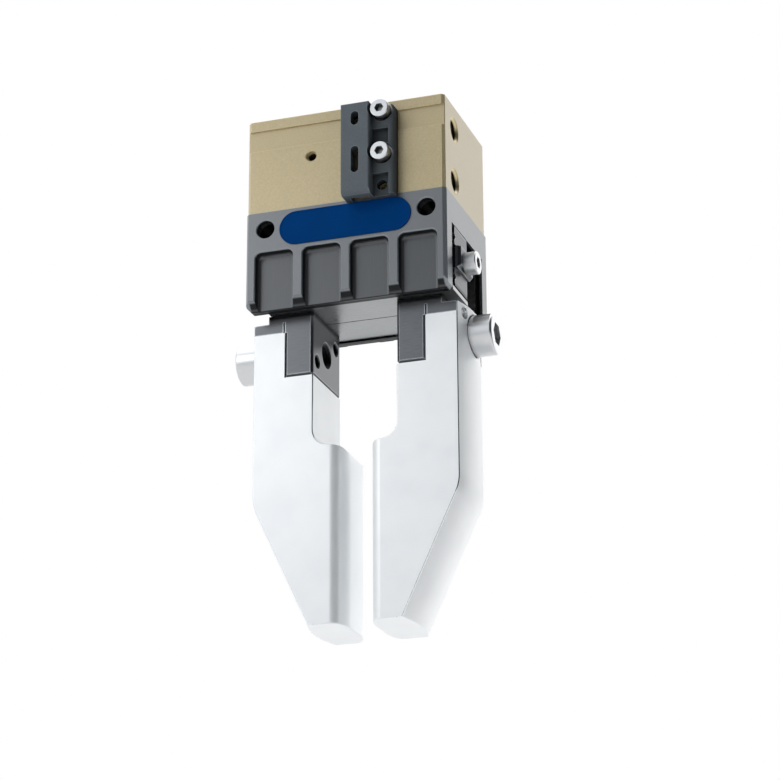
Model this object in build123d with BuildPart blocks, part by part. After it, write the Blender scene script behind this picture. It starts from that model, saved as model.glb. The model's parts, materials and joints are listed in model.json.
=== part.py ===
from build123d import *
import os
from math import radians, sqrt, tan

# A two-finger parallel gripper with an oval pneumatic piston and a wedge hook, hanging fingers down.
# Frame: origin in the middle of the top mounting face, +Z up, +X towards the right jaw, front at -Y.
# Millimetres throughout.

# --- housings -------------------------------------------------------------------------------------
BODY_W = 50.0  # grey housing, along X
BODY_D = 32.5  # grey housing, along Y
GOLD_W = 49.6  # gold housing
GOLD_FRONT = -16.1
GOLD_BACK = 15.6
SEAM_Z = -24.3  # where the two housings meet
BOTTOM_Z = -48.8
CHANNEL_HALF = 12.0  # the jaws' channel, half its depth along Y
CHANNEL_TOP = -31.6
BORE_L = 34.0  # oval piston bore
BORE_W = 18.0
BORE_TOP = -3.5
TIE_X = 15.2
TIE_Y = 12.4
TOP_BOLT_X = 20.5
TOP_BOLT_Y = 12.6
DOWEL_X = 20.5
CROSS_HOLE_X = 20.1
CROSS_HOLE_Z = -28.7
PORT_Y = -8.2
PORT_Z = (-6.2, -19.5)
PORT_R = 2.5  # major radius of the M5 thread
PORT_SEAT_R = 3.2
PORT_DEPTH = 6.0
POCKET_X = (5.95, 17.9)
POCKET_W = 9.6
POCKET_TOP = -34.5
POCKET_FLOOR = 14.0
POCKET_ROUND = 0.8  # between a pocket's floor and walls
RIB_CHAMFER = 2.0
EDGE_BREAK = 0.2  # small chamfer on machined outer edges
SEAL_GROOVE_T = 0.9
ROD_SEAL_D = 12.5
ROD_SEAL_H = 3.5
BUSH_D = 10.0
BUSH_GAP = 0.2  # along Z, between rod seal and bush

# --- nameplate and sensor bracket -----------------------------------------------------------------
NAMEPLATE_Z = -29.45
BRACKET_X = (0.9, 7.9, 13.3)  # left edge, step between the two parts, right edge
BRACKET_Z = (-25.4, -2.0)
BRACKET_FRONT_Y = -22.0
BRACKET_RIB_Y = -19.5
BRACKET_SEAT_Y = -18.3
BRACKET_SCREWS = ((10.3, -3.9), (10.3, -15.0))
BRACKET_SPARE_HOLE = (10.0, -22.6)
WASHER_T = 0.6
SIDE_THREAD = (-8.6, -11.2)  # spare M3 thread on the front

# --- motion ---------------------------------------------------------------------------------------
CLOSE = 2.7  # each jaw moves this far inwards from rest
OPEN = 5.3  # and this far outwards
WEDGE_ANGLE = 45.0

# --- rails and rollers ----------------------------------------------------------------------------
RAIL_TOP = -31.9
RAIL_BOTTOM = -46.9
RAIL_OUTER_Y = 9.9  # distance of the rail's outer face from the middle plane
RAIL_INNER_Y = 0.55
RAIL_LONG_END = 25.0  # end towards the rail's own jaw
RAIL_SHORT_END = -21.0
STRIP_INNER_Y = 10.4
STRIP_HALF_L = 23.5
ROLLER_D = 1.5
ROLLER_L = 1.45
V_SIDE = 1.54  # side of the square space that the two V grooves make
ROW_Z = (-34.4, -44.6)
ROLLER_PITCH = 3.0
ROLLER_COUNT = 12
ROLLER_START_X = -15.5
RELIEF_TOP = -36.3
RELIEF_BOTTOM = -42.3
RELIEF_Y = 7.9
COVER_TOP = -47.4
COVER_BOTTOM = -48.4
GAP_Y = -(RAIL_OUTER_Y + STRIP_INNER_Y) / 2  # middle of the gap between rail and strip
PLATE_BOTTOM = -46.7
PLATE_TAB = (11.6, 17.0)  # ends of a middle plate's tab in the channel's roof
PLATE_TAB_TOP = -30.1
PLATE_HALF_T = 0.5

# --- wedge hook -----------------------------------------------------------------------------------
ROD_D = 8.0
HOOK_TOP = -34.7
HOOK_BOTTOM = -40.7
HOOK_HALF_X = 5.0
HOOK_HALF_Y = 3.9
LUG_L = 5.6
LUG_W = 3.4
LUG_REACH = 6.2
SLOT_REACH = 6.5
SLOT_PLAY = 0.05
HOOK_PLAY = 0.4
BOLT_SEAT_Z = -37.9

# --- jaws and fingers -----------------------------------------------------------------------------
JAW_HALF_D = 9.5  # half the depth of post and finger
POST_IN = 10.4
POST_OUT = 17.5
POST_BOTTOM = -64.2
FOOT_OUT = 21.5
NECK_X = (10.9, 21.0)  # between rail and foot
NECK_Y = (-9.0, -0.9)
FOOT_TOP = -48.5
FOOT_BOTTOM = -50.4
EAR_BOTTOM = -53.0
EAR_T = 0.8
FINGER_EDGE = 25.2  # outer face at the front and back edges
FINGER_CROWN_R = 30.0  # the outer face is crowned between them
FINGER_ROUND = 0.3  # rounding of the finger's long edges
FINGER_RECESS = 10.35
FINGER_BEND_Z = -94.9
FINGER_BEND_R = 10.0
LEDGE_Z = -81.9
TIP_IN = 2.95
TIP_OUT = 11.2
TIP_BOTTOM = -125.0
TIP_FLAT_HALF = 3.5  # half the width of the flat gripping face
TIP_SWEEP_X = 3.25
AXIS_Z = -56.3  # finger screw axis, in the middle plane
SCREW_SEAT_X = 26.0
SCREW_SEAT_R = 5.3
PIN_DY = 6.3
PIN_DZ = 3.75
PIN_D = 3.0
PIN_L = 13.3
SCREW_MINOR_R = 2.5  # bore of the M6 thread

# --- switch cam on the right jaw ------------------------------------------------------------------
CAM_AXIS = (-4.8, -39.7)
CAM_T = 1.2
CAM_Y = (-9.5, 0.3)
CAM_Z = (-42.0, -36.6)
CAM_BEVEL = 0.8

# --- piston ---------------------------------------------------------------------------------------
PISTON_TOP = -7.5
PISTON_BOTTOM = -16.0
PISTON_PLAY = 0.06
SEAL_Z = (-13.2, -10.8)
SEAL_DEPTH = 1.6
MAGNET_X = 11.0
MAGNET_R = 2.0
MAGNET_H = 2.5

HALF_TURN = 180.0
HOLE_PLAY = 0.03  # radial play between a thread's stand-in shank and its hole


def x_plane(x):
    """Plane facing +X at x, whose local axes are Y and Z."""
    return Plane(origin=(x, 0, 0), x_dir=(0, 1, 0), z_dir=(1, 0, 0))


def y_plane(y):
    """Plane facing -Y at y, whose local axes are X and Z."""
    return Plane(origin=(0, y, 0), x_dir=(1, 0, 0), z_dir=(0, -1, 0))


def y_plane_back(y):
    """Plane facing +Y at y, whose local axes are -X and Z."""
    return Plane(origin=(0, y, 0), x_dir=(-1, 0, 0), z_dir=(0, 1, 0))


def block(x0, x1, y0, y1, z0, z1, mode=Mode.ADD):
    """A box given by its lowest and highest coordinates."""
    centre = ((x0 + x1) / 2, (y0 + y1) / 2, (z0 + z1) / 2)
    with Locations(centre):
        Box(abs(x1 - x0), abs(y1 - y0), abs(z1 - z0), mode=mode)


def slot_prism(z0, z1, length, width, mode=Mode.ADD):
    """An upright oval prism on the middle axis."""
    with BuildSketch(Plane.XY.offset(min(z0, z1))) as oval:
        SlotOverall(length, width)
    extrude(oval.sketch, amount=abs(z1 - z0), mode=mode)


def save(piece, label):
    """Names a finished piece and writes it to its own file."""
    piece.label = label
    export_step(piece, f"parts/{label}.step")


def turned(piece):
    """The same piece turned half way round the Z axis."""
    return piece.rotate(Axis.Z, HALF_TURN)


# --- housings -------------------------------------------------------------------------------------


def make_upper_housing():
    with BuildPart() as upper_housing:
        block(-GOLD_W / 2, GOLD_W / 2, GOLD_FRONT, GOLD_BACK, SEAM_Z, 0)
        chamfer(upper_housing.edges().filter_by(Axis.Z), 0.7)
        chamfer(upper_housing.faces().sort_by(Axis.Z)[-1].edges(), EDGE_BREAK)
        # oval bore, open to the seam
        slot_prism(SEAM_Z, BORE_TOP, BORE_L, BORE_W, mode=Mode.SUBTRACT)
        # shallow band round the front and back
        band_top, band_bottom, band_depth, end = -2.7, -8.0, 0.5, GOLD_W / 2
        block(-end, end, GOLD_FRONT, GOLD_FRONT + band_depth, band_bottom, band_top, Mode.SUBTRACT)
        block(-end, end, GOLD_BACK - band_depth, GOLD_BACK, band_bottom, band_top, Mode.SUBTRACT)
        # top mounting threads, locating bores and counterbored tie screw holes
        with Locations(Plane.XY):
            with GridLocations(2 * TOP_BOLT_X, 2 * TOP_BOLT_Y, 2, 2):
                CounterSinkHole(radius=1.65, counter_sink_radius=2.1, depth=8, counter_sink_angle=90)
            with GridLocations(2 * DOWEL_X, 1, 2, 1):
                Hole(radius=2.0, depth=6)
            with GridLocations(2 * TIE_X, 2 * TIE_Y, 2, 2):
                CounterBoreHole(radius=1.4, counter_bore_radius=2.5, counter_bore_depth=2.8)
        # air ports on the right, each with a narrow passage to its end of the bore
        for port_z, passage_z in zip(PORT_Z, (-4.7, -21.0)):
            with Locations(x_plane(GOLD_W / 2)):
                with Locations((PORT_Y, port_z)):
                    CounterSinkHole(PORT_R, PORT_SEAT_R, depth=PORT_DEPTH, counter_sink_angle=90)
            with Locations(x_plane(GOLD_W / 2 - PORT_DEPTH + 1)):
                with Locations((PORT_Y, passage_z)):
                    Hole(radius=0.8, depth=8.5)
        # threads for the sensor bracket, and a spare one beside it
        with Locations(y_plane(GOLD_FRONT)):
            with Locations(SIDE_THREAD):
                CounterSinkHole(radius=1.25, counter_sink_radius=1.5, depth=5, counter_sink_angle=90)
            with Locations(*BRACKET_SCREWS, BRACKET_SPARE_HOLE):
                Hole(radius=1.05, depth=5)
    return upper_housing.part


def make_lower_housing():
    half_w, half_d = BODY_W / 2, BODY_D / 2
    with BuildPart() as lower_housing:
        block(-half_w, half_w, -half_d, half_d, BOTTOM_Z, SEAM_Z)
        chamfer(lower_housing.edges().filter_by(Axis.Z), 0.7)
        chamfer(lower_housing.faces().sort_by(Axis.Z)[0].edges().filter_by(Axis.Y), 0.8)
        # channel for the jaws, right through along X and open below
        block(-half_w, half_w, -CHANNEL_HALF, CHANNEL_HALF, BOTTOM_Z, CHANNEL_TOP, Mode.SUBTRACT)
        # four ribbed pockets on the front and four on the back
        depth = half_d - POCKET_FLOOR
        centres = [side * x for x in POCKET_X for side in (-1, 1)]
        tall = 2 * (POCKET_TOP - BOTTOM_Z)
        for side, plane in ((-1, y_plane(-half_d)), (1, y_plane_back(half_d))):
            with BuildSketch(plane):
                with Locations(*[(x, BOTTOM_Z) for x in centres]):
                    RectangleRounded(POCKET_W, tall, 1.5)
            extrude(amount=-depth, taper=9, mode=Mode.SUBTRACT)
            floor_y = side * POCKET_FLOOR
            floors = lower_housing.faces().filter_by_position(Axis.Y, floor_y - 0.01, floor_y + 0.01)
            fillet(floors.edges().filter_by(lambda edge: edge.center().Z > BOTTOM_Z + 1), POCKET_ROUND)
        # the ribs' lower ends are cut back
        for side in (-1, 1):
            with BuildSketch(x_plane(-half_w)):
                with BuildLine():
                    Polyline(
                        (side * half_d, BOTTOM_Z + RIB_CHAMFER),
                        (side * half_d, BOTTOM_Z),
                        (side * (half_d - RIB_CHAMFER), BOTTOM_Z),
                        close=True,
                    )
                make_face()
            extrude(amount=BODY_W, mode=Mode.SUBTRACT)
        # cross holes from front to back
        with Locations(y_plane(-half_d)):
            with Locations((-CROSS_HOLE_X, CROSS_HOLE_Z), (CROSS_HOLE_X, CROSS_HOLE_Z)):
                Hole(radius=2.25)
        # broken edges round the front and back faces, their pockets and holes
        by_depth = lower_housing.faces().sort_by(Axis.Y)
        for face in (by_depth[0], by_depth[-1]):
            chamfer(face.edges().filter_by(lambda edge: edge.center().Z < SEAM_Z - 1), EDGE_BREAK)
        # rod bore with steps for bush and seal, seal groove and tie screw threads in the top
        with Locations(Plane.XY.offset(SEAM_Z)):
            CounterBoreHole(
                radius=BUSH_D / 2, counter_bore_radius=ROD_SEAL_D / 2, counter_bore_depth=ROD_SEAL_H
            )
            with GridLocations(2 * TIE_X, 2 * TIE_Y, 2, 2):
                Hole(radius=1.05, depth=7)
        with BuildSketch(Plane.XY.offset(SEAM_Z)):
            SlotOverall(BORE_L + 4.4, BORE_W + 4.4)
            SlotOverall(BORE_L + 2.0, BORE_W + 2.0, mode=Mode.SUBTRACT)
        extrude(amount=-SEAL_GROOVE_T, mode=Mode.SUBTRACT)
        # two slots in the channel's roof hold the middle plates
        for side in (-1, 1):
            x0, x1 = sorted((side * PLATE_TAB[0], side * PLATE_TAB[1]))
            block(x0, x1, -PLATE_HALF_T, PLATE_HALF_T, CHANNEL_TOP, PLATE_TAB_TOP, Mode.SUBTRACT)
    return lower_housing.part


def make_nameplate():
    plate_l, plate_w, plate_t, rim, rim_h = 32.8, 8.4, 0.3, 0.35, 0.06
    plane = y_plane(-BODY_D / 2)
    with BuildPart() as nameplate:
        with BuildSketch(plane):
            with Locations((0, NAMEPLATE_Z)):
                SlotOverall(plate_l, plate_w)
        extrude(amount=plate_t)
        with BuildSketch(plane.offset(plate_t)):
            with Locations((0, NAMEPLATE_Z)):
                SlotOverall(plate_l - 2 * rim, plate_w - 2 * rim)
        extrude(amount=-rim_h, mode=Mode.SUBTRACT)
    return nameplate.part


def make_housing_seal():
    with BuildPart() as housing_seal:
        with BuildSketch(Plane.XY.offset(SEAM_Z - SEAL_GROOVE_T)):
            SlotOverall(BORE_L + 4.2, BORE_W + 4.2)
            SlotOverall(BORE_L + 2.2, BORE_W + 2.2, mode=Mode.SUBTRACT)
        extrude(amount=SEAL_GROOVE_T)
    return housing_seal.part


def make_ring(outer_d, inner_d, z0, z1):
    """A plain round ring on the middle axis."""
    with BuildPart() as ring:
        with BuildSketch(Plane.XY.offset(z0)):
            Circle(outer_d / 2)
            Circle(inner_d / 2, mode=Mode.SUBTRACT)
        extrude(amount=z1 - z0)
    return ring.part


# --- socket cap screws ----------------------------------------------------------------------------


def cap_screw(head_d, head_h, key, shank_d, shank_l):
    """A socket cap screw with its seat at the origin, the head towards +Z and the shank below."""
    with BuildPart() as screw:
        with BuildSketch():
            Circle(head_d / 2)
        extrude(amount=head_h)
        fillet(screw.faces().sort_by(Axis.Z)[-1].edges(), head_h * 0.1)
        with BuildSketch(Plane.XY.offset(head_h)):
            RegularPolygon(radius=key / 2, side_count=6, major_radius=False)
        extrude(amount=-head_h * 0.5, mode=Mode.SUBTRACT)
        with BuildSketch():
            Circle(shank_d / 2)
        extrude(amount=-shank_l)
        chamfer(screw.faces().sort_by(Axis.Z)[0].edges(), shank_d * 0.12)
    return screw.part


def place_group(piece, planes):
    """Copies of a piece, one on each plane, as one group of separate solids."""
    return Compound([plane.location * piece for plane in planes])


def make_tie_screws():
    screw = cap_screw(head_d=4.5, head_h=2.5, key=2.0, shank_d=2.1 - 2 * HOLE_PLAY, shank_l=28.0)
    seat_z = -2.8
    places = [(x, y) for x in (-TIE_X, TIE_X) for y in (-TIE_Y, TIE_Y)]
    return place_group(screw, [Plane(origin=(x, y, seat_z)) for x, y in places])


def bracket_seats(y):
    """Planes facing the front at y, one on each bracket screw's axis."""
    return [Plane(origin=(x, y, z), x_dir=(1, 0, 0), z_dir=(0, -1, 0)) for x, z in BRACKET_SCREWS]


def make_bracket_screws():
    screw = cap_screw(head_d=4.6, head_h=2.5, key=2.0, shank_d=2.1 - 2 * HOLE_PLAY, shank_l=7.2)
    return place_group(screw, bracket_seats(BRACKET_SEAT_Y - WASHER_T))


def make_bracket_washers():
    """Split spring washers under the bracket screws' heads."""
    outer_d, inner_d, split = 5.2, 2.4, 0.5
    with BuildPart() as washer:
        with BuildSketch():
            Circle(outer_d / 2)
            Circle(inner_d / 2, mode=Mode.SUBTRACT)
            with Locations((0, outer_d / 2)):
                Rectangle(split, outer_d, rotation=-20, mode=Mode.SUBTRACT)
        extrude(amount=WASHER_T)
    return place_group(washer.part, bracket_seats(BRACKET_SEAT_Y))


# --- sensor bracket -------------------------------------------------------------------------------


def make_sensor_bracket():
    left, step, right = BRACKET_X
    low, high = BRACKET_Z
    with BuildPart() as sensor_bracket:
        block(left, step, BRACKET_FRONT_Y, GOLD_FRONT, low, high)
        front_edges = sensor_bracket.faces().sort_by(Axis.Y)[0].edges()
        chamfer(front_edges.sort_by(Axis.Z)[0], 1.0)
        fillet(sensor_bracket.faces().sort_by(Axis.Y)[0].edges(), 0.35)
        # floor with a rounded rib down the right edge, and a boss behind each screw
        with BuildSketch(Plane.XY.offset(low)) as rib_outline:
            with BuildLine():
                Polyline(
                    (step, GOLD_FRONT),
                    (right, GOLD_FRONT),
                    (right, BRACKET_RIB_Y),
                    (right - 1.3, BRACKET_RIB_Y),
                    (right - 1.3, BRACKET_SEAT_Y),
                    (step, BRACKET_SEAT_Y),
                    close=True,
                )
            make_face()
            fillet(rib_outline.vertices().sort_by_distance((right, BRACKET_RIB_Y))[0], 1.0)
        extrude(amount=high - low)
        top_corner = sensor_bracket.edges().filter_by(Axis.Y).group_by(Axis.Z)[-1].sort_by(Axis.X)[-1]
        fillet(top_corner, 1.2)
        boss_right = right - 1.2
        block(step, boss_right, BRACKET_RIB_Y, BRACKET_SEAT_Y, -8.5, high)
        block(step, boss_right, BRACKET_RIB_Y, BRACKET_SEAT_Y, -20.0, -12.4)
        # sensor duct, open below, with two windows in front
        block(left + 1.5, step - 0.9, -19.3, GOLD_FRONT, low, high - 1.5, Mode.SUBTRACT)
        for centre_z, height in ((-6.0, 3.6), (-16.65, 6.8)):
            with BuildSketch(y_plane(BRACKET_FRONT_Y)):
                with Locations((4.45, centre_z)):
                    SlotOverall(height, 2.0, rotation=90)
            extrude(amount=-3.0, mode=Mode.SUBTRACT)
        # counterbores and holes of the two screws, and a small hole below them
        with BuildSketch(y_plane(BRACKET_FRONT_Y)):
            with Locations(*BRACKET_SCREWS):
                Circle(2.8)
        extrude(amount=-(BRACKET_SEAT_Y - BRACKET_FRONT_Y), mode=Mode.SUBTRACT)
        with BuildSketch(y_plane(BRACKET_FRONT_Y)):
            with Locations(*BRACKET_SCREWS):
                Circle(1.35)
            with Locations(BRACKET_SPARE_HOLE):
                Circle(1.3)
        extrude(amount=BRACKET_FRONT_Y - GOLD_FRONT, mode=Mode.SUBTRACT)
        # room for the nameplate behind the lower end
        block(left, right, -16.9, GOLD_FRONT, low, SEAM_Z + 0.15, Mode.SUBTRACT)
    return sensor_bracket.part


# --- piston, rod and wedge hook -------------------------------------------------------------------


def make_piston():
    length, width = BORE_L - 2 * PISTON_PLAY, BORE_W - 2 * PISTON_PLAY
    with BuildPart() as piston:
        slot_prism(PISTON_BOTTOM, PISTON_TOP, length, width)
        ends = piston.faces().filter_by(Axis.Z)
        chamfer(ends.edges(), 0.4)
        with BuildSketch(Plane.XY.offset(SEAL_Z[0])):
            SlotOverall(length + 1, width + 1)
            SlotOverall(length - 2 * SEAL_DEPTH, width - 2 * SEAL_DEPTH, mode=Mode.SUBTRACT)
        extrude(amount=SEAL_Z[1] - SEAL_Z[0], mode=Mode.SUBTRACT)
        with Locations(Plane.XY.offset(PISTON_TOP)):
            with Locations((MAGNET_X, 0)):
                Hole(radius=MAGNET_R, depth=MAGNET_H)
            Hole(radius=1.25)
    return piston.part


def make_piston_seal():
    inset = 2 * (PISTON_PLAY + SEAL_DEPTH)
    with BuildPart() as piston_seal:
        with BuildSketch(Plane.XY.offset(SEAL_Z[0] + 0.1)):
            SlotOverall(BORE_L - 0.04, BORE_W - 0.04)
            SlotOverall(BORE_L - inset, BORE_W - inset, mode=Mode.SUBTRACT)
        extrude(amount=SEAL_Z[1] - SEAL_Z[0] - 0.2)
    return piston_seal.part


def make_piston_magnet():
    with BuildPart() as piston_magnet:
        with Locations((MAGNET_X, 0, PISTON_TOP)):
            Cylinder(MAGNET_R, MAGNET_H, align=(Align.CENTER, Align.CENTER, Align.MAX))
    return piston_magnet.part


def make_piston_rod():
    with BuildPart() as piston_rod:
        with BuildSketch(Plane.XY.offset(HOOK_TOP)):
            Circle(ROD_D / 2)
            Circle(1.6, mode=Mode.SUBTRACT)
        extrude(amount=PISTON_BOTTOM - HOOK_TOP)
    return piston_rod.part


def make_piston_bolt():
    bolt = cap_screw(head_d=5.5, head_h=2.6, key=2.5, shank_d=2.5 - 2 * HOLE_PLAY, shank_l=28.0)
    return place_group(bolt, [Plane(origin=(0, 0, BOLT_SEAT_Z), x_dir=(1, 0, 0), z_dir=(0, 0, -1))])


def make_wedge_hook():
    centre_z = (HOOK_TOP + HOOK_BOTTOM) / 2
    with BuildPart() as wedge_hook:
        block(-HOOK_HALF_X, HOOK_HALF_X, -HOOK_HALF_Y, HOOK_HALF_Y, HOOK_BOTTOM, HOOK_TOP)
        chamfer(wedge_hook.edges().filter_by(Axis.Z), 0.5)
        # one inclined lug at the front for the right jaw, and one at the back for the left jaw
        for plane in (y_plane(-HOOK_HALF_Y), y_plane_back(HOOK_HALF_Y)):
            with BuildSketch(plane):
                with Locations((0, centre_z)):
                    SlotOverall(LUG_L, LUG_W, rotation=WEDGE_ANGLE)
            extrude(amount=LUG_REACH - HOOK_HALF_Y)
        with Locations(Plane(origin=(0, 0, HOOK_BOTTOM), x_dir=(1, 0, 0), z_dir=(0, 0, -1))):
            CounterBoreHole(1.6, counter_bore_radius=2.9, counter_bore_depth=BOLT_SEAT_Z - HOOK_BOTTOM)
    return wedge_hook.part


# --- rails, strips and rollers (made for the front; the back ones are the same, turned round) ------


def cut_v_grooves(x0, x1):
    """Cuts the two square roller tracks, set on edge, along X through the current part."""
    with BuildSketch(x_plane(x0)) as tracks:
        with Locations(*[(GAP_Y, z) for z in ROW_Z]):
            Rectangle(V_SIDE, V_SIDE, rotation=45)
    extrude(tracks.sketch, amount=x1 - x0, mode=Mode.SUBTRACT)


def make_guide_strip():
    with BuildPart() as guide_strip:
        block(-STRIP_HALF_L, STRIP_HALF_L, -CHANNEL_HALF, -STRIP_INNER_Y, -46.8, CHANNEL_TOP)
        chamfer(guide_strip.faces().sort_by(Axis.Z)[0].edges().filter_by(Axis.Y), 1.0)
        cut_v_grooves(-STRIP_HALF_L, STRIP_HALF_L)
    return guide_strip.part


def make_roller_cage():
    thickness = 0.24
    length = ROLLER_PITCH * ROLLER_COUNT
    middle_x = ROLLER_START_X + ROLLER_PITCH * (ROLLER_COUNT - 1) / 2
    with BuildPart() as roller_cage:
        x0, x1 = middle_x - length / 2, middle_x + length / 2
        block(x0, x1, GAP_Y - thickness / 2, GAP_Y + thickness / 2, -46.4, -32.4)
        with BuildSketch(y_plane(GAP_Y - thickness)):
            for z in ROW_Z:
                with Locations((middle_x, z)):
                    with GridLocations(ROLLER_PITCH, 1, ROLLER_COUNT, 1):
                        Rectangle(ROLLER_D + 0.12, 2.3)
            with Locations((middle_x, sum(ROW_Z) / 2)):
                with GridLocations(length / 4, 1, 4, 1):
                    SlotOverall(6.0, 4.0)
        extrude(amount=-2 * thickness, mode=Mode.SUBTRACT)
    return roller_cage.part


def make_rollers():
    """Crossed rollers: every second one is turned a quarter turn in its track."""
    with BuildPart() as roller:
        Cylinder(radius=ROLLER_D / 2, height=ROLLER_L)
        chamfer(roller.edges(), 0.1)
    planes = []
    for z in ROW_Z:
        for i in range(ROLLER_COUNT):
            tilt = 1 if i % 2 else -1
            place = (ROLLER_START_X + i * ROLLER_PITCH, GAP_Y, z)
            planes.append(Plane(origin=place, x_dir=(1, 0, 0), z_dir=(0, 1, tilt)))
    return place_group(roller.part, planes)


def make_center_guide_plates():
    with BuildPart() as center_guide_plates:
        for side in (-1, 1):
            x0, x1 = sorted((side * 11.2, side * 22.0))
            block(x0, x1, -PLATE_HALF_T, PLATE_HALF_T, PLATE_BOTTOM, CHANNEL_TOP)
            t0, t1 = sorted((side * PLATE_TAB[0], side * PLATE_TAB[1]))
            block(t0, t1, -PLATE_HALF_T, PLATE_HALF_T, CHANNEL_TOP, PLATE_TAB_TOP)
    return center_guide_plates.part


# --- jaws (made for the right side; the left ones are the same, turned round) ---------------------

PIN_PLACES = ((-PIN_DY, AXIS_Z + PIN_DZ), (PIN_DY, AXIS_Z - PIN_DZ))


def make_base_jaw():
    slot_centre_shift = (CLOSE - OPEN) / 2
    slot_travel = (CLOSE + OPEN) * sqrt(2)
    lug_z = (HOOK_TOP + HOOK_BOTTOM) / 2
    ear_in, ear_round = POST_OUT - 1.5, 0.6
    ear_top_x = FINGER_EDGE - ear_round
    with BuildPart() as base_jaw:
        # rail in the front half of the channel
        block(RAIL_SHORT_END, RAIL_LONG_END, -RAIL_OUTER_Y, -RAIL_INNER_Y, RAIL_BOTTOM, RAIL_TOP)
        cut_v_grooves(RAIL_SHORT_END, RAIL_LONG_END)
        ends, relief_y = (RAIL_SHORT_END, RAIL_LONG_END), (-RAIL_OUTER_Y, -RELIEF_Y)
        block(*ends, *relief_y, RELIEF_BOTTOM, RELIEF_TOP, Mode.SUBTRACT)
        # pocket that clears rod and hook over the whole travel
        pocket_x0 = -HOOK_HALF_X - OPEN - HOOK_PLAY
        pocket_x1 = HOOK_HALF_X + CLOSE + HOOK_PLAY
        pocket_y = -HOOK_HALF_Y - HOOK_PLAY
        block(pocket_x0, pocket_x1, pocket_y, -RAIL_INNER_Y, RAIL_BOTTOM + 0.4, RAIL_TOP, Mode.SUBTRACT)
        # inclined slot for the hook's lug
        with BuildSketch(y_plane(pocket_y)):
            with Locations((slot_centre_shift, lug_z + slot_centre_shift * tan(radians(WEDGE_ANGLE)))):
                SlotOverall(LUG_L + slot_travel + 0.3, LUG_W + 2 * SLOT_PLAY, rotation=WEDGE_ANGLE)
        extrude(amount=SLOT_REACH + pocket_y, mode=Mode.SUBTRACT)
        # neck through the cover strip, foot and post below it
        block(*NECK_X, *NECK_Y, FOOT_TOP, RAIL_BOTTOM)
        block(POST_IN, FOOT_OUT, -JAW_HALF_D, JAW_HALF_D, FOOT_BOTTOM, FOOT_TOP)
        block(POST_IN, POST_OUT, -JAW_HALF_D, JAW_HALF_D, POST_BOTTOM, FOOT_BOTTOM)
        post_face = base_jaw.faces().sort_by(Axis.Z)[0]
        chamfer(post_face.edges(), 0.6)
        uprights = base_jaw.edges().filter_by(Axis.Z).filter_by_position(Axis.Z, -58, -56)
        chamfer(uprights, 0.6)
        # ears that hold the finger's top from both sides
        for side in (-1, 1):
            y0, y1 = sorted((side * JAW_HALF_D, side * (JAW_HALF_D - EAR_T)))
            with BuildSketch(y_plane(y1)):
                with BuildLine():
                    Line((ear_in, EAR_BOTTOM), (FINGER_EDGE, EAR_BOTTOM))
                    Line((FINGER_EDGE, EAR_BOTTOM), (FINGER_EDGE, FOOT_BOTTOM - ear_round))
                    RadiusArc((FINGER_EDGE, FOOT_BOTTOM - ear_round), (ear_top_x, FOOT_BOTTOM), -ear_round)
                    Line((ear_top_x, FOOT_BOTTOM), (ear_in, FOOT_BOTTOM))
                    Line((ear_in, FOOT_BOTTOM), (ear_in, EAR_BOTTOM))
                make_face()
            extrude(amount=EAR_T)
            # fine groove between ear and post
            g0, g1 = sorted((side * JAW_HALF_D, side * (JAW_HALF_D - EAR_T / 2)))
            block(POST_OUT - 0.1, POST_OUT + 0.35, g0, g1, EAR_BOTTOM, FOOT_BOTTOM, Mode.SUBTRACT)
        # finger screw thread and pin holes, seen from the middle
        post_t = POST_OUT - POST_IN
        inner = Plane(origin=(POST_IN, 0, 0), x_dir=(0, -1, 0), z_dir=(-1, 0, 0))
        with Locations(inner):
            with Locations((0, AXIS_Z)):
                CounterSinkHole(SCREW_MINOR_R, 3.3, depth=post_t, counter_sink_angle=90)
            with Locations(*[(-y, z) for y, z in PIN_PLACES]):
                CounterSinkHole(PIN_D / 2, 1.85, depth=post_t, counter_sink_angle=90)
        # thread for the switch cam's screw in the rail's end
        with Locations(x_plane(RAIL_LONG_END)):
            with Locations((CAM_AXIS[0], CAM_AXIS[1])):
                Hole(radius=1.25, depth=9)
    return base_jaw.part


def make_cover_strip():
    with BuildPart() as cover_strip:
        block(RAIL_SHORT_END, RAIL_LONG_END, -CHANNEL_HALF + 0.3, -0.15, COVER_BOTTOM, COVER_TOP)
        block(*NECK_X, *NECK_Y, COVER_BOTTOM, COVER_TOP, Mode.SUBTRACT)
    return cover_strip.part


def make_finger_crown():
    """The crowned skin of the outer face: a flat arch that runs down the finger and round its bend."""
    half, inside = JAW_HALF_D, 2.0
    with BuildPart() as crown:
        with BuildLine() as run:
            FilletPolyline(
                (FINGER_EDGE, 0, FOOT_BOTTOM),
                (FINGER_EDGE, 0, FINGER_BEND_Z),
                (2 * TIP_OUT - FINGER_EDGE, 0, 2 * TIP_BOTTOM - FINGER_BEND_Z),
                radius=FINGER_BEND_R,
            )
        start = Plane(origin=(FINGER_EDGE, 0, FOOT_BOTTOM), x_dir=(1, 0, 0), z_dir=(0, 0, -1))
        with BuildSketch(start) as arch:
            with BuildLine():
                Polyline((0, half), (-inside, half), (-inside, -half), (0, -half))
                RadiusArc((0, -half), (0, half), -FINGER_CROWN_R)
            make_face()
            fillet(arch.vertices().group_by(Axis.X)[-1], FINGER_ROUND)
        sweep(arch.sketch, path=run.line)
    return crown.part


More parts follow.
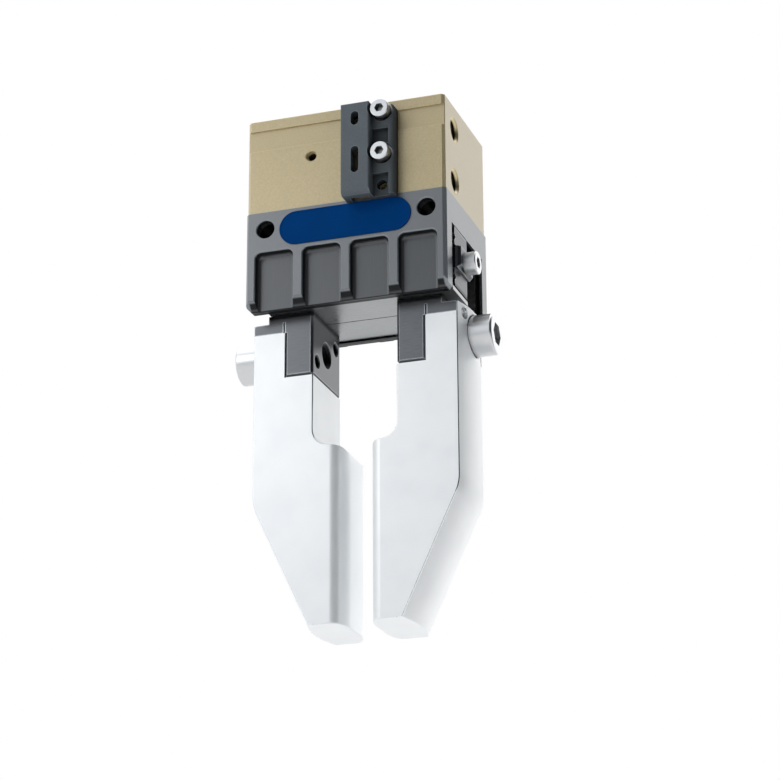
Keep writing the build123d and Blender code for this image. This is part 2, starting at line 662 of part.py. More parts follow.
def make_finger():
    """The finger: a side outline, a crowned outer face and a gripping face swept back at both edges."""
    under_skin = 2 * FINGER_ROUND  # the outline stays this far inside the crowned skin
    with BuildPart() as finger:
        with BuildSketch(y_plane(JAW_HALF_D)) as outline:
            with BuildLine():
                Polyline(
                    (POST_OUT, FOOT_BOTTOM),
                    (FINGER_EDGE - under_skin, FOOT_BOTTOM),
                    (FINGER_EDGE - under_skin, FINGER_BEND_Z),
                    (TIP_OUT - under_skin, TIP_BOTTOM),
                    (TIP_IN, TIP_BOTTOM),
                    (TIP_IN, LEDGE_Z - 0.6),
                    (FINGER_RECESS, LEDGE_Z + 0.4),
                    (FINGER_RECESS, POST_BOTTOM - 0.1),
                    (POST_OUT, POST_BOTTOM - 0.1),
                    close=True,
                )
            make_face()
            bend = outline.vertices().sort_by_distance((FINGER_EDGE, FINGER_BEND_Z))[0]
            fillet(bend, FINGER_BEND_R - under_skin)
            fillet(outline.vertices().sort_by_distance((FINGER_RECESS, LEDGE_Z + 0.4))[0], 4.0)
            fillet(outline.vertices().sort_by_distance((TIP_IN, LEDGE_Z - 0.6))[0], 1.5)
        extrude(amount=2 * JAW_HALF_D)
        side_edges = finger.faces().filter_by(Axis.Y).edges()
        clear_z = (TIP_BOTTOM + 1, POST_BOTTOM - 1)
        fillet(side_edges.filter_by(lambda edge: clear_z[0] < edge.center().Z < clear_z[1]), FINGER_ROUND)
        add(make_finger_crown())
        outer = FINGER_EDGE + FINGER_CROWN_R
        block(-outer, outer, -JAW_HALF_D, JAW_HALF_D, TIP_BOTTOM, FOOT_BOTTOM, Mode.INTERSECT)
        # plan outline: the gripping face is flat in the middle and swept back to the front and back
        sweep_y = JAW_HALF_D - TIP_FLAT_HALF
        with BuildSketch(Plane.XY.offset(TIP_BOTTOM)):
            with BuildLine():
                centre_x = TIP_IN + TIP_SWEEP_X
                front_centre, back_centre = (centre_x, -TIP_FLAT_HALF), (centre_x, TIP_FLAT_HALF)
                Line((TIP_IN, -TIP_FLAT_HALF), (TIP_IN, TIP_FLAT_HALF))
                EllipticalCenterArc(back_centre, TIP_SWEEP_X, sweep_y, start_angle=90, arc_size=90)
                Line((centre_x, JAW_HALF_D), (outer, JAW_HALF_D))
                Line((outer, JAW_HALF_D), (outer, -JAW_HALF_D))
                Line((outer, -JAW_HALF_D), (centre_x, -JAW_HALF_D))
                EllipticalCenterArc(front_centre, TIP_SWEEP_X, sweep_y, start_angle=180, arc_size=90)
            make_face()
        extrude(amount=FOOT_BOTTOM - TIP_BOTTOM, mode=Mode.INTERSECT)
        fillet(finger.faces().sort_by(Axis.Z)[0].edges(), FINGER_ROUND)
        # the top is narrower, between the jaw's ears
        for side in (-1, 1):
            y0, y1 = sorted((side * JAW_HALF_D, side * (JAW_HALF_D - EAR_T)))
            block(POST_OUT, FINGER_EDGE, y0, y1, EAR_BOTTOM, FOOT_BOTTOM, Mode.SUBTRACT)
        # spotface and clearance hole of the screw, and the pin holes
        hole_l = SCREW_SEAT_X + 2 - POST_OUT
        with Locations(x_plane(SCREW_SEAT_X + 2)):
            with Locations((0, AXIS_Z)):
                CounterBoreHole(3.3, counter_bore_radius=SCREW_SEAT_R, counter_bore_depth=2, depth=hole_l)
            with Locations(*PIN_PLACES):
                Hole(radius=PIN_D / 2, depth=hole_l)
    return finger.part


def make_finger_screw():
    shank_end = 12.6
    shank_d = 2 * (SCREW_MINOR_R - HOLE_PLAY)
    screw = cap_screw(head_d=10.0, head_h=6.0, key=5.0, shank_d=shank_d, shank_l=SCREW_SEAT_X - shank_end)
    seat = Plane(origin=(SCREW_SEAT_X, 0, AXIS_Z), x_dir=(0, 1, 0), z_dir=(1, 0, 0))
    return place_group(screw, [seat])


def make_dowel_pins():
    with BuildPart() as pin:
        with BuildSketch():
            Circle(PIN_D / 2 - 0.01)
        extrude(amount=PIN_L)
        chamfer(pin.edges(), 0.3)
    start_x = 12.2
    planes = [Plane(origin=(start_x, y, z), x_dir=(0, 1, 0), z_dir=(1, 0, 0)) for y, z in PIN_PLACES]
    return place_group(pin.part, planes)


# --- switch cam on the right jaw ------------------------------------------------------------------


def make_switch_cam():
    with BuildPart() as switch_cam:
        block(RAIL_LONG_END, RAIL_LONG_END + CAM_T, *CAM_Y, *CAM_Z)
        outer_edges = switch_cam.faces().sort_by(Axis.X)[-1].edges()
        chamfer([outer_edges.sort_by(Axis.Z)[0], outer_edges.sort_by(Axis.Y)[0]], CAM_BEVEL)
        with Locations(x_plane(RAIL_LONG_END + CAM_T)):
            with Locations(CAM_AXIS):
                Hole(radius=1.6, depth=CAM_T)
    return switch_cam.part


def make_switch_cam_screw():
    screw = cap_screw(head_d=5.5, head_h=3.0, key=2.5, shank_d=2.5 - 2 * HOLE_PLAY, shank_l=8.0)
    seat = Plane(origin=(RAIL_LONG_END + CAM_T, *CAM_AXIS), x_dir=(0, 1, 0), z_dir=(1, 0, 0))
    return place_group(screw, [seat])


# --- write every piece ----------------------------------------------------------------------------

os.makedirs("parts", exist_ok=True)

save(make_upper_housing(), "upper_housing")
save(make_lower_housing(), "lower_housing")
save(make_nameplate(), "nameplate")
save(make_housing_seal(), "housing_seal")
ring_bore = ROD_D + 2 * HOLE_PLAY
step_z = SEAM_Z - ROD_SEAL_H
save(make_ring(ROD_SEAL_D, ring_bore, step_z + BUSH_GAP / 2, SEAM_Z), "rod_seal")
save(make_ring(BUSH_D, ring_bore, CHANNEL_TOP, step_z - BUSH_GAP / 2), "rod_bush")
save(make_tie_screws(), "housing_tie_screws")
save(make_sensor_bracket(), "sensor_bracket")
save(make_bracket_screws(), "bracket_screws")
save(make_bracket_washers(), "bracket_washers")
save(make_center_guide_plates(), "center_guide_plates")

save(make_piston(), "piston")
save(make_piston_seal(), "piston_seal")
save(make_piston_magnet(), "piston_magnet")
save(make_piston_rod(), "piston_rod")
save(make_wedge_hook(), "wedge_hook")
save(make_piston_bolt(), "piston_bolt")

for label, maker in (
    ("guide_strip", make_guide_strip),
    ("roller_cage", make_roller_cage),
    ("rollers", make_rollers),
):
    save(maker(), f"{label}_front")
    save(turned(maker()), f"{label}_back")

save(make_cover_strip(), "cover_strip_right")
save(turned(make_cover_strip()), "cover_strip_left")
for label, maker in (
    ("base_jaw", make_base_jaw),
    ("finger", make_finger),
    ("finger_screw", make_finger_screw),
    ("dowel_pins", make_dowel_pins),
):
    save(maker(), f"{label}_right")
    save(turned(maker()), f"{label}_left")

save(make_switch_cam(), "switch_cam")
save(make_switch_cam_screw(), "switch_cam_screw")
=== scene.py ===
import json
import math

import bpy
from mathutils import Matrix, Vector


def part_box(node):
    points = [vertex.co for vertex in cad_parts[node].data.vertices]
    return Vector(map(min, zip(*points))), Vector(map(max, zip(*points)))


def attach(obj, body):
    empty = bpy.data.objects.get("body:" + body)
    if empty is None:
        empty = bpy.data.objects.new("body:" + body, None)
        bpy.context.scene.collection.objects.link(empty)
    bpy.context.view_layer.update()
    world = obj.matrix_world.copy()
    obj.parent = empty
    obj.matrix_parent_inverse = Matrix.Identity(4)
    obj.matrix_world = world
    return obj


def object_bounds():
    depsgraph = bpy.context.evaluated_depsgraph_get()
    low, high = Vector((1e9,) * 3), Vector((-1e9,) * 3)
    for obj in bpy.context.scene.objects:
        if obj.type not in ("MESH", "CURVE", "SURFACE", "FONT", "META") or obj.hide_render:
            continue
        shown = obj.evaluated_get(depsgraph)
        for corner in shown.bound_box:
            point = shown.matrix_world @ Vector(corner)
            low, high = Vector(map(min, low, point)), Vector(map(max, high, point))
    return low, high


# A two-finger pneumatic gripper, hanging fingers down in a white studio. Lengths are in metres, apart from
# those given to the material helpers, which are in millimetres.
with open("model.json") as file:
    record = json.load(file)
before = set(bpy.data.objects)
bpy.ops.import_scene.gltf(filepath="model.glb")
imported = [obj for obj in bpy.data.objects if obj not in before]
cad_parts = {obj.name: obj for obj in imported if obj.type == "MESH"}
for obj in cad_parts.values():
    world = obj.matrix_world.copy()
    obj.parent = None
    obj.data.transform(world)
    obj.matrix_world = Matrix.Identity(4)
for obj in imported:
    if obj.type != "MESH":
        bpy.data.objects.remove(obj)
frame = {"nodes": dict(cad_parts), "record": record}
cad_low, cad_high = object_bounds()
nodes = frame["nodes"]

MM = 0.001

# --- where the masks of the materials lie, in millimetres -----------------------------------------
ANYWHERE = 1000.0  # a limit past every face
# each pair of heights is where a mask starts and where it is full, and the mask stays full past that
BELOW_TOP_FACE = (-0.2, -0.5)
# painted shade on the guide housing's lower face
HOUSING_UNDERSIDE_SHADE = (-48.55, -48.75)
# the jaws' painted shade in bores and beside the housing lies only below these heights
BELOW_RAILS = (-46.0, -46.6)
# painted shade on the part of the jaws next to the housing
JAW_SHADE_BAND = (-49.7, -49.1)  # the part of the jaws next to the housing
SEAT_REACH = 0.35  # how far outside a skin's limit across X the shallow seats round the ports lie
TIP_SWEEP = 10.1  # rounded edges nearer X = 0 than this are the fingertips' wide sweeps

# shares by which painted shade darkens hollows, crevices and hidden faces
DARK = -0.85
DARKEST = -0.9

# --- threads, lengths as shares of the pitch ------------------------------------------------------
STEPS_PER_TURN = 28
RIDGE_WIDTH = 0.85
RIDGE_HEIGHT = 0.5
RIDGE_SUNK = 0.02 * MM  # into the wall of the bore, in metres
END_HEIGHT = 0.1  # what is left of a ridge's height at its inner end, as a share

# --- studio ---------------------------------------------------------------------------------------
FLOOR_DROP = 0.65
FLOOR_HALF = 4.0
WHITE = (1.0, 1.0, 1.0)
ROOM_GREY = (0.26, 0.265, 0.28)
# where a lobe points, the cosines of its edge and core, and its colour
ROOM_LOBES = (
    ((0.0, 1.0, 0.05), 0.05, 0.5, (1.4, 1.4, 1.4)),
    ((-1.0, 0.15, 0.2), 0.3, 0.8, (0.9, 0.91, 0.93)),
    ((0.0, 0.0, 1.0), 0.5, 0.9, (1.8, 1.8, 1.8)),
    ((0.85, -0.50, 0.0), 0.05, 0.55, (0.02, 0.027, 0.033)),
    ((-0.32, -0.88, 0.36), 0.8, 0.96, (0.78, 0.81, 0.84)),
)


# --- node helpers ---------------------------------------------------------------------------------


def tinted(colour, share):
    """A colour made lighter or darker by a share."""
    return tuple(min(1.0, c * (1 + share)) for c in colour)


class Nodes:
    """A node tree, with short ways to add to it."""

    def __init__(self, tree):
        self.tree = tree

    def node(self, kind, **settings):
        """A new node with these settings."""
        made = self.tree.nodes.new(kind)
        for key, value in settings.items():
            setattr(made, key, value)
        return made

    def fill(self, socket, value):
        """A number, vector or colour set on a socket, or an output linked to it."""
        if isinstance(value, bpy.types.NodeSocket):
            self.tree.links.new(value, socket)
        elif isinstance(value, tuple):
            socket.default_value = (*value, 1.0)
        else:
            socket.default_value = value

    def levels(self, factor, low, high, from_low=0.3, from_high=0.7, kind="LINEAR"):
        """A factor carried over to the range from low to high."""
        made = self.node("ShaderNodeMapRange", interpolation_type=kind)
        self.fill(made.inputs["Value"], factor)
        self.fill(made.inputs["From Min"], from_low)
        self.fill(made.inputs["From Max"], from_high)
        self.fill(made.inputs["To Min"], low)
        self.fill(made.inputs["To Max"], high)
        return made.outputs["Result"]

    def blend(self, factor, first, second):
        """Two colours mixed by a factor."""
        made = self.node("ShaderNodeMix", data_type="RGBA")
        for socket, value in ((0, factor), (6, first), (7, second)):
            self.fill(made.inputs[socket], value)
        return made.outputs[2]

    def dot(self, first, second):
        """The cosine of the angle between two directions."""
        made = self.node("ShaderNodeVectorMath", operation="DOT_PRODUCT")
        self.fill(made.inputs[0], first)
        self.fill(made.inputs[1], second)
        return made.outputs["Value"]


class Shader(Nodes):
    """A material's node tree, with one Principled shader, and masks and textures for it.

    Places are in each part's own coordinates, so the masks and textures travel with it.
    """

    def __init__(self, name, metallic, roughness):
        self.material = bpy.data.materials.new(name)
        self.material.use_nodes = True
        super().__init__(self.material.node_tree)
        self.surface = self.tree.nodes["Principled BSDF"]
        self.put("Metallic", metallic)
        self.put("Roughness", roughness)

    def put(self, name, value):
        """An input of the surface set to a number or linked to an output."""
        self.fill(self.surface.inputs[name], value)

    def place(self, stretch=(1, 1, 1)):
        """The point on the part, in millimetres, stretched along each axis."""
        mapping = self.node("ShaderNodeMapping")
        self.fill(mapping.inputs["Scale"], [s / MM for s in stretch])
        self.fill(mapping.inputs["Vector"], self.node("ShaderNodeTexCoord").outputs["Object"])
        return mapping.outputs["Vector"]

    def normal(self):
        """The direction in which the face points."""
        return self.node("ShaderNodeNewGeometry").outputs["Normal"]

    def split(self, vector):
        """The parts of a vector, by the names of the axes."""
        made = self.node("ShaderNodeSeparateXYZ")
        self.fill(made.inputs["Vector"], vector)
        return made.outputs

    def maths(self, operation, *values):
        """One or two values put through an operation."""
        made = self.node("ShaderNodeMath", operation=operation)
        for socket, value in zip(made.inputs, values):
            self.fill(socket, value)
        return made.outputs["Value"]

    def switch(self, mask, off, on):
        """A value that goes from off to on as a mask goes from 0 to 1."""
        return self.levels(mask, off, on, 0.0, 1.0)

    def height(self, start, full):
        """0 at the start height and past it, rising to 1 at the full height."""
        return self.levels(self.split(self.place())["Z"], 0.0, 1.0, start, full)

    def inside(self, limits, soft=0.3):
        """1 nearer the middle planes across X and Y than the limits, and 0 outside or on the top face."""
        parts = self.split(self.place())
        product = self.height(*BELOW_TOP_FACE)
        for axis, limit in zip("XY", limits):
            distance = self.maths("ABSOLUTE", parts[axis])
            product = self.maths("MULTIPLY", product, self.levels(distance, 1.0, 0.0, limit - soft, limit))
        return product

    def rounds(self, clear):
        """1 on the rounded edges of the front and back faces, 0 elsewhere and nearer X = 0 than clear."""
        facing = self.maths("ABSOLUTE", self.split(self.normal())["Y"])
        product = self.switch(self.inside((clear, ANYWHERE)), 1.0, 0.0)
        # a side face's cosine is 0 and a front face's 1, and the rounded edges lie between
        for low, high, start, end in ((0.0, 1.0, 0.34, 0.44), (1.0, 0.0, 0.90, 0.98)):
            product = self.maths("MULTIPLY", product, self.levels(facing, low, high, start, end))
        return product

    def slants(self, strength):
        """Up to the strength on faces turned away from all three axes, such as broken edges."""
        parts = self.split(self.normal())
        x, y, z = (self.maths("ABSOLUTE", parts[axis]) for axis in "XYZ")
        largest = self.maths("MAXIMUM", self.maths("MAXIMUM", x, y), z)
        return self.levels(largest, strength, 0.0, from_low=0.80, from_high=0.97)

    def crevices(self, distance, strength):
        """Painted shade, up to the strength where faces closer than the distance crowd round, 0 in the open.
        """
        occlusion = self.node("ShaderNodeAmbientOcclusion", samples=8)
        self.fill(occlusion.inputs["Distance"], distance * MM)
        return self.levels(occlusion.outputs["AO"], strength, 0.0, from_low=0.25, from_high=0.8)

    def edges(self, width, strength):
        """Up to the strength within the width of a sharp edge, 0 elsewhere."""
        bevel = self.node("ShaderNodeBevel", samples=6)
        self.fill(bevel.inputs["Radius"], width * MM)
        turn = self.dot(bevel.outputs["Normal"], self.normal())
        return self.levels(turn, strength, 0.0, from_low=0.86, from_high=0.985)

    def noise(self, scale, detail=2.0, stretch=(1, 1, 1), rough=0.5):
        """Noise whose features are about 1 / scale millimetres across."""
        texture = self.node("ShaderNodeTexNoise")
        self.fill(texture.inputs["Scale"], scale)
        self.fill(texture.inputs["Detail"], detail)
        self.fill(texture.inputs["Roughness"], rough)
        self.fill(texture.inputs["Vector"], self.place(stretch))
        return texture.outputs["Fac"]

    def ramp(self, factor, first, last):
        """From the first colour to the last along a factor, over the range where noise varies most."""
        made = self.node("ShaderNodeValToRGB")
        for element, position, colour in zip(made.color_ramp.elements, (0.3, 0.7), (first, last)):
            element.position = position
            element.color = (*colour, 1.0)
        self.fill(made.inputs["Fac"], factor)
        return made.outputs["Color"]

    def varied(self, factor, colour, share):
        """A colour that noise makes darker and lighter by a share."""
        return self.ramp(factor, tinted(colour, -share), tinted(colour, share))

    def bump(self, height, distance, strength=1.0):
        """Relief of that many millimetres."""
        made = self.node("ShaderNodeBump")
        self.fill(made.inputs["Distance"], distance * MM)
        self.fill(made.inputs["Strength"], strength)
        self.fill(made.inputs["Height"], height)
        return made.outputs["Normal"]


# --- materials ------------------------------------------------------------------------------------


def anodised(name, colour, roughness, metallic, speckle, skin, edge_highlight=0.3, milled_marks_and_shade=None):
    """Bead-blasted anodised aluminium: fine speckle, soft clouds, and edges and chamfers painted lighter as a
    highlight.

    Bores and hollows inside the skin, the limits across X and Y, are painted dark as shade and are dull, and
    the shallow seats round them are bare metal, painted lighter as a highlight. Milled_marks_and_shade gives
    the limits of walls painted dark as shade and of darker floors with upright cutter marks, and paints shade
    into crevices and onto the lower face of the guide housing.
    """
    shader = Shader(name, metallic, roughness)
    grain = shader.noise(3.2, detail=3.0, rough=0.65)
    cloud = shader.noise(0.09, detail=3.0)
    body = shader.blend(0.35, shader.varied(grain, colour, speckle), shader.varied(cloud, colour, 0.05))
    # painted highlight: edges and chamfers made lighter
    body = shader.blend(shader.edges(0.25, edge_highlight), body, tinted(colour, 1.2))
    body = shader.blend(shader.slants(0.5 * edge_highlight), body, tinted(colour, 1.2))
    # painted shade inside the skin's bores and hollows, which are dull too
    bore_shade = dull = shader.inside(skin)
    if milled_marks_and_shade is not None:
        wall_limits, floor_limits = milled_marks_and_shade
        # painted shade on the pocket walls; the floors are darker, with upright cutter marks
        walls = shader.inside(wall_limits, 0.4)
        floors = shader.inside(floor_limits, 0.6)
        # painted shade on the guide housing's lower face
        underside_shade = shader.height(*HOUSING_UNDERSIDE_SHADE)
        marks = shader.noise(1.0, detail=2.0, stretch=(7.0, 0.2, 0.15))
        body = shader.blend(walls, body, tinted(colour, DARK))
        body = shader.blend(floors, body, shader.ramp(marks, tinted(colour, -0.58), tinted(colour, -0.52)))
        body = shader.blend(underside_shade, body, tinted(colour, -0.8))
        # painted shade in crevices
        body = shader.blend(shader.crevices(1.5, 0.7), body, tinted(colour, DARKEST))
        dull = shader.maths("MAXIMUM", bore_shade, shader.maths("SUBTRACT", walls, floors))
        dull = shader.maths("MAXIMUM", dull, underside_shade)
    skin_x, skin_y = skin
    # shallow seats: bare metal, and their colour painted lighter as a highlight
    bare_seat_highlight = shader.inside((skin_x + SEAT_REACH, skin_y), 0.1)
    body = shader.blend(bare_seat_highlight, body, tinted(colour, 0.5))
    body = shader.blend(bore_shade, body, tinted(colour, DARKEST))
    shader.put("Base Color", body)
    shader.put("Roughness", shader.levels(grain, roughness - 0.06, roughness + 0.06))
    shader.put("Metallic", shader.switch(bare_seat_highlight, metallic, 1.0))
    shader.put("Normal", shader.bump(grain, 0.012))
    shader.put("Coat Weight", shader.switch(dull, 0.6, 0.0))
    shader.put("Specular IOR Level", shader.switch(dull, 0.5, 0.0))
    shader.put("Coat Roughness", 0.3)
    return shader.material


def brushed(
    name, colour, roughness, along="x", contrast=0.18, relief=0.004, metallic=1.0,
    edge=None, post=None, crevice_shade=0.0, polish=None,
):
    """Ground or brushed metal, whose fine lines run along one axis.

    Edge gives how strongly, and by what share, the metal is painted lighter beside sharp corners as a
    highlight,
    and crevice_shade how strongly painted shade darkens it in crevices. Post is for the jaws and gives two
    limits:
    bores farther out along X than the first and nearer the middle along Y than the second are painted dark as
    shade, and so is the band next to the housing.
    Polish is for the fingers and gives the roughness of their rounded edges.
    """
    shader = Shader(name, metallic, roughness)
    thin, long = 14.0, 0.35
    stretch = [long if axis == along else thin for axis in "xyz"]
    lines = shader.noise(1.0, detail=3.0, stretch=stretch, rough=0.6)
    cloud = shader.noise(0.12, detail=2.0)
    body = shader.blend(0.35, shader.varied(lines, colour, contrast), shader.varied(cloud, colour, 0.07))
    if edge is not None:
        strength, lighter = edge
        # painted highlight beside sharp corners
        body = shader.blend(shader.edges(0.45, strength), body, tinted(colour, lighter))
    if post is not None:
        inner, side = post
        below = shader.height(*BELOW_RAILS)
        # painted shade in the post's bores
        bores = shader.maths("MULTIPLY", shader.inside((ANYWHERE, side)), below)
        dark = shader.blend(bores, body, tinted(colour, DARK))
        body = shader.blend(shader.inside((inner, ANYWHERE)), dark, body)
        # painted shade on the band next to the housing
        band = shader.maths("MULTIPLY", shader.height(*JAW_SHADE_BAND), below)
        body = shader.blend(band, body, tinted(colour, DARK))
    if crevice_shade > 0:
        # painted shade in crevices
        body = shader.blend(shader.crevices(2.0, crevice_shade), body, tinted(colour, DARKEST))
    spread = min(0.08, contrast)
    matt = shader.levels(lines, roughness - spread, roughness + spread)
    if polish is not None:
        rounds = shader.rounds(TIP_SWEEP)
        matt = shader.switch(rounds, roughness, polish)
        shader.put("Metallic", shader.switch(rounds, metallic, 1.0))
    shader.put("Base Color", body)
    shader.put("Roughness", matt)
    shader.put("Normal", shader.bump(lines, relief))
    return shader.material


def moulded(name, colour, roughness=0.6, pit=2.2, relief=0.03, gloss=0.5, edge_highlight=0.0, shade=None):
    """Moulded plastic, lacquer or rubber with a fine grain; edge_highlight paints its edges lighter as a
    highlight.

    Shade gives two distances from the middle plane across Y: the material is darkest up to the first and has
    its own colour from the second on. It also makes crevices dark.
    """
    shader = Shader(name, 0.0, roughness)
    grain = shader.noise(pit, detail=3.0, rough=0.6)
    cloud = shader.noise(0.15, detail=2.0)
    body = shader.blend(0.4, shader.varied(grain, colour, 0.12), shader.varied(cloud, colour, 0.08))
    if edge_highlight > 0:
        # painted highlight on the edges
        body = shader.blend(shader.edges(0.3, edge_highlight), body, tinted(colour, 1.5))
    if shade is not None:
        near, far = shade
        body = shader.blend(shader.inside((ANYWHERE, far), far - near), body, tinted(colour, DARKEST))
        body = shader.blend(shader.crevices(2.5, 0.85), body, tinted(colour, DARKEST))
    shader.put("Base Color", body)
    shader.put("Roughness", shader.levels(grain, roughness - 0.05, roughness + 0.08))
    shader.put("Normal", shader.bump(grain, relief, 0.5))
    shader.put("Specular IOR Level", gloss)
    return shader.material


# one for each slot of the record
LOOKS = {
    "gold_anodised": (anodised, dict(
        colour=(0.48, 0.395, 0.225), roughness=0.42, metallic=0.35, speckle=0.18, skin=(24.3, 14.9),
    )),
    "grey_anodised": (anodised, dict(
        colour=(0.147, 0.159, 0.170), roughness=0.36, metallic=0.4, speckle=0.12, skin=(24.5, 13.6),
        edge_highlight=0.9, milled_marks_and_shade=((24.3, 16.1), (24.3, 14.9)),
    )),
    "badge_blue": (moulded, dict(colour=(0.0, 0.042, 0.18), pit=4.0, relief=0.003, gloss=0.02)),
    "bracket_plastic": (moulded, dict(colour=(0.115, 0.135, 0.15), gloss=0.2, edge_highlight=0.8, shade=(16.0, 22.0))),
    "rubber": (moulded, dict(colour=(0.02, 0.02, 0.02))),
    "jaw_steel": (brushed, dict(
        colour=(0.135, 0.141, 0.149), roughness=0.36, contrast=0.3, edge=(1.5, 3.0), post=(10.75, 9.1),
        crevice_shade=0.5,
    )),
    "rail_steel": (brushed, dict(
        colour=(0.37, 0.38, 0.385), roughness=0.3, contrast=0.06, relief=0.001, crevice_shade=0.4,
    )),
    "finger_metal": (brushed, dict(
        colour=(0.92, 0.94, 0.955), roughness=0.36, along="z", contrast=0.01, relief=0.0003, metallic=0.3,
        polish=0.12,
    )),
    "screw_steel": (brushed, dict(
        colour=(0.70, 0.71, 0.72), roughness=0.3, contrast=0.01, relief=0.0004, crevice_shade=1.0,
    )),
    "bronze": (brushed, dict(colour=(0.20, 0.15, 0.09), roughness=0.4)),
    "cage_brass": (brushed, dict(colour=(0.11, 0.085, 0.045), roughness=0.5)),
    "piston_aluminium": (brushed, dict(colour=(0.72, 0.73, 0.75), roughness=0.28)),
    "magnet_grey": (brushed, dict(colour=(0.12, 0.12, 0.13), roughness=0.4)),
}
materials = {name: make(name, **settings) for name, (make, settings) in LOOKS.items()}
for part in frame["record"]["subparts"]:
    piece = nodes[part["node"]]
    piece.data.materials.clear()
    piece.data.materials.append(materials[part["material_slot"]])


# --- objects --------------------------------------------------------------------------------------


def add_object(name, data):
    """A new object in the scene."""
    made = bpy.data.objects.new(name, data)
    bpy.context.scene.collection.objects.link(made)
    return made


def add_mesh(name, points, faces, material):
    """A new mesh object of one material in the scene."""
    mesh = bpy.data.meshes.new(name)
    mesh.from_pydata(points, [], faces)
    mesh.materials.append(material)
    return add_object(name, mesh)


# --- threads --------------------------------------------------------------------------------------


def make_threads(name, body, slot, bores, bore_r, pitch, length):
    """Helical ridges just inside round bores. Each bore is a point at its mouth and the direction inwards."""
    steps = int(length / pitch * STEPS_PER_TURN)
    foot_r = bore_r + RIDGE_SUNK
    points, faces = [], []
    for mouth, inward in bores:
        across = inward.orthogonal().normalized()
        other = inward.cross(across)
        first = len(points)
        for step in range(steps + 1):
            turn = math.tau * step / STEPS_PER_TURN
            out = across * math.cos(turn) + other * math.sin(turn)
            along = mouth + inward * (pitch * step / STEPS_PER_TURN)
            # the ridge grows over its first turn and runs out over its last
            grown = min(1.0, step / STEPS_PER_TURN, (steps - step) / STEPS_PER_TURN + END_HEIGHT)
            points.append(along + out * foot_r)
            points.append(along + inward * (RIDGE_WIDTH * pitch) + out * foot_r)
            crest = along + inward * (RIDGE_WIDTH / 2 * pitch)
            points.append(crest + out * (bore_r - RIDGE_HEIGHT * pitch * grown))
        for step in range(steps):
            base = first + 3 * step
            for side in range(3):
                a, b = base + side, base + (side + 1) % 3
                faces.append((a, b, b + 3, a + 3))
        last = first + 3 * steps
        faces.append((first + 2, first + 1, first))
        faces.append((last, last + 1, last + 2))
    piece = add_mesh(name, points, faces, materials[slot])
    piece.data.shade_smooth()
    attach(piece, body)


mounts = {mount["name"]: mount for mount in frame["record"]["mounts"]}


def bore_of(mount_name):
    """The mouth of a mount's bore and the direction inwards."""
    mount = mounts[mount_name]
    outward = Vector(mount["axis"])
    return Vector(mount["pos_m"]) + outward * (mount["dims"]["length_mm"] * MM / 2), -outward


for name, mount_names, pitch in (
    ("port_threads", ("air_port_upper", "air_port_lower"), 0.8 * MM),
    ("side_thread_ridges", ("side_thread",), 0.5 * MM),
):
    dims = mounts[mount_names[0]]["dims"]
    make_threads(
        name, "housing", "gold_anodised", [bore_of(mount_name) for mount_name in mount_names],
        bore_r=dims["r_mm"] * MM, pitch=pitch, length=dims["length_mm"] * MM - pitch,
    )

top = mounts["top_bolts"]["dims"]
top_bores = []
for x in (-top["spacing_x_mm"] * MM / 2, top["spacing_x_mm"] * MM / 2):
    for y in (-top["spacing_y_mm"] * MM / 2, top["spacing_y_mm"] * MM / 2):
        top_bores.append((Vector((x, y, cad_high.z - 0.6 * MM)), Vector((0, 0, -1))))
make_threads(
    "top_threads", "housing", "gold_anodised", top_bores,
    bore_r=top["hole_r_mm"] * MM, pitch=0.7 * MM, length=6.5 * MM,
)

# the first turn of the thread that shows in each jaw's post, past the end of the finger screw
for side_name, sign in (("right", 1), ("left", -1)):
    screw_low, screw_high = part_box(f"finger_screw_{side_name}")
    end = (screw_low + screw_high) / 2
    end.x = (screw_low.x if sign > 0 else screw_high.x) - sign * 0.05 * MM
    make_threads(
        f"post_thread_{side_name}", f"jaw_{side_name}", "jaw_steel", [(end, Vector((-sign, 0, 0)))],
        bore_r=2.5 * MM, pitch=0.6 * MM, length=0.75 * MM,
    )


# --- studio, light and camera ---------------------------------------------------------------------


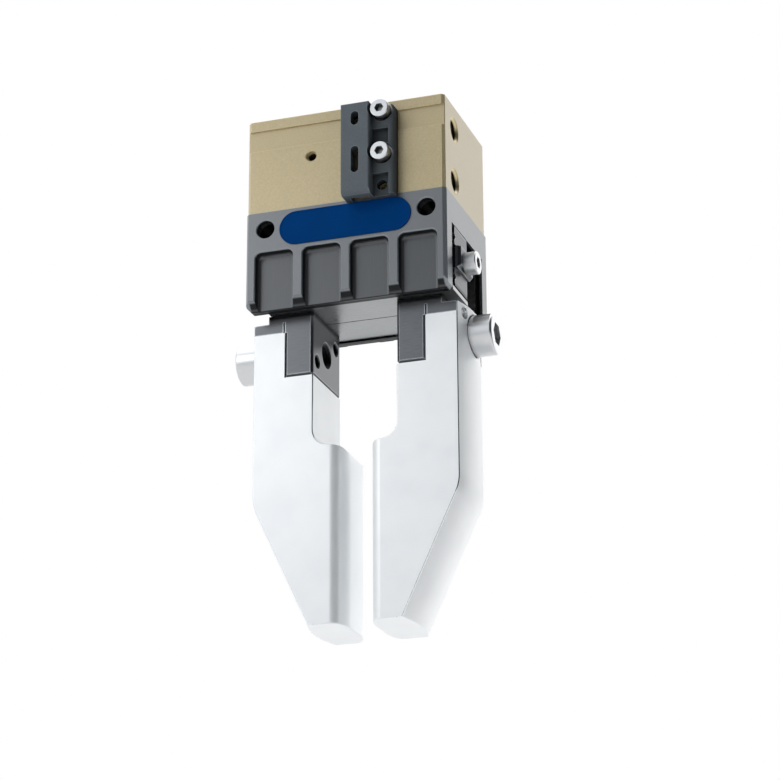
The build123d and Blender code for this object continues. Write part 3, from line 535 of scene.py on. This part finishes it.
def make_floor():
    """A plain pale floor, far enough below for views from underneath."""
    shader = Shader("floor_paper", 0.0, 0.9)
    cloud = shader.noise(0.02, detail=4.0)
    shader.put("Base Color", shader.ramp(cloud, (0.84, 0.84, 0.84), (0.88, 0.88, 0.88)))
    height = cad_low.z - FLOOR_DROP
    corners = [(FLOOR_HALF * x, FLOOR_HALF * y, height) for x, y in ((-1, -1), (1, -1), (1, 1), (-1, 1))]
    floor = add_mesh("floor", corners, [(0, 1, 2, 3)], shader.material)


def make_world():
    """A grey room with brighter and darker sides, for light and reflections. The camera sees white."""
    world = bpy.data.worlds.new("studio")
    bpy.context.scene.world = world
    world.use_nodes = True
    room = Nodes(world.node_tree)
    direction = room.node("ShaderNodeTexCoord").outputs["Generated"]
    colour = ROOM_GREY
    for towards, edge, core, tint in ROOM_LOBES:
        nearness = room.dot(direction, Vector(towards).normalized())
        colour = room.blend(room.levels(nearness, 0.0, 1.0, edge, core, "SMOOTHSTEP"), colour, tint)
    seen = room.node("ShaderNodeLightPath").outputs["Is Camera Ray"]
    room.fill(room.tree.nodes["Background"].inputs["Color"], room.blend(seen, colour, WHITE))


def make_light(name, place, size, power):
    """A square soft light at a place, turned to the middle of the object."""
    data = bpy.data.lights.new(name, "AREA")
    data.size = size
    data.energy = power
    light = add_object(name, data)
    middle = (cad_low + cad_high) / 2
    light.location = place
    light.rotation_mode = "QUATERNION"
    light.rotation_quaternion = (middle - Vector(place)).to_track_quat("-Z", "Y")


def make_camera():
    """A long lens, looking up at the front and the right side, fitted to the photo's corners."""
    azimuth, elevation, roll = math.radians(18.77), math.radians(-20.16), math.radians(-0.29)
    distance, aim_right, aim_up = 0.6497, 0.00552, -0.0622
    flat = math.cos(elevation)
    back = Vector((math.sin(azimuth) * flat, -math.cos(azimuth) * flat, math.sin(elevation)))
    level = Vector((math.cos(azimuth), math.sin(azimuth), 0))
    upright = back.cross(level)
    right = level * math.cos(roll) + upright * math.sin(roll)
    up = upright * math.cos(roll) - level * math.sin(roll)
    data = bpy.data.cameras.new("camera")
    data.sensor_width = 36.0
    data.lens = 122.6
    data.clip_start = 0.01
    camera = add_object("camera", data)
    turn = Matrix((right, up, back)).transposed().to_4x4()
    camera.matrix_world = Matrix.Translation(back * distance + right * aim_right + up * aim_up) @ turn
    bpy.context.scene.camera = camera


make_floor()
make_world()
make_light("key", place=(-0.15, -0.20, 0.03), size=0.14, power=0.10)
make_camera()
bpy.context.scene.view_settings.view_transform = "Standard"
